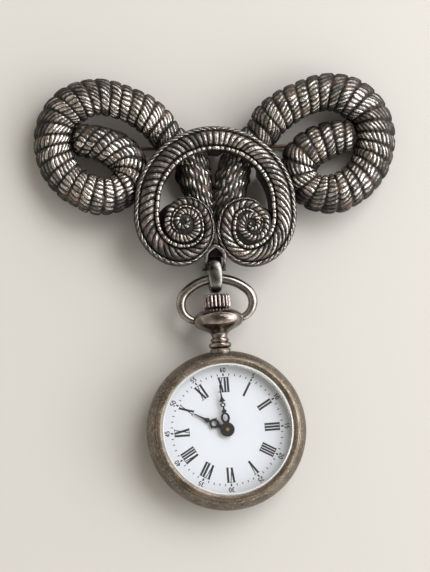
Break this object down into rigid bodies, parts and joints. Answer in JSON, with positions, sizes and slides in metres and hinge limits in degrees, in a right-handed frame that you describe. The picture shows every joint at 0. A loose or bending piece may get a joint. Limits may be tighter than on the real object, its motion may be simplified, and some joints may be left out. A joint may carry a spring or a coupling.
{
  "type": "chatelaine watch pin",
  "caption": "Brooch of two cast rope horns and a ridged scroll frame, with a small round watch swinging from it on a bow, lying face up.",
  "frame": {"origin": "middle of the outline, seen from above, on the surface that the pin lies on", "axes": "+X to the right and +Y to the top of the brooch as worn, +Z out of the dial towards the viewer"},
  "size_m": [0.0768, 0.093, 0.0107],
  "materials": {
    "antique_silver": "cast white metal, silvered, darkened in its hollows and worn bright on its ridges",
    "pin_steel": "drawn steel wire",
    "polished_steel": "smooth, lightly worn",
    "neck_metal": "polished, brownish with age",
    "case_metal": "worn matt, brownish grey, finely scratched",
    "watch_glass": "clear, low dome",
    "movement_brass": "plain",
    "dial_white": "white enamel paint",
    "hand_black": "black lacquer"
  },
  "bodies": {
    "brooch": {"left_horn": "antique_silver", "right_horn": "antique_silver", "scroll_frame": "antique_silver", "brooch_pin": "pin_steel", "bail": "polished_steel", "bow": "polished_steel"},
    "watch": {"pendant": "neck_metal", "case_body": "case_metal", "case_back": "case_metal", "bezel": "case_metal", "crystal": "watch_glass", "movement": "movement_brass", "dial": "dial_white", "hand_arbor": "movement_brass"},
    "stem": {"setting_stem": "pin_steel"},
    "winder": {"crown": "neck_metal"},
    "hour": {"hour_hand": "hand_black"},
    "minute": {"minute_hand": "hand_black"}
  },
  "joints": [
    {"name": "watch_swing", "type": "hinge", "parent": "brooch", "child": "watch", "pos_m": [0.00119, -0.00596, 0.0054], "axis": [-0.9971, -0.0767, 0], "range_deg": [0, 90]},
    {"name": "stem_pull", "type": "slide", "parent": "watch", "child": "stem", "axis": [-0.0767, 0.9971, 0], "range_m": [0, 0.0004]},
    {"name": "crown_turn", "type": "hinge", "parent": "stem", "child": "winder", "pos_m": [0.00093, -0.00257, 0.0054], "axis": [-0.0767, 0.9971, 0], "continuous": true},
    {"name": "minute_turn", "type": "hinge", "parent": "watch", "child": "minute", "pos_m": [0.003, -0.02949, 0.0075], "axis": [0, 0, -1], "continuous": true},
    {"name": "hour_turn", "type": "hinge", "parent": "watch", "child": "hour", "pos_m": [0.003, -0.02949, 0.0072], "axis": [0, 0, -1], "continuous": true}
  ],
  "couplings": [
    {"joint": "hour_turn", "follows": "minute_turn", "ratio": 0.083333}
  ]
}
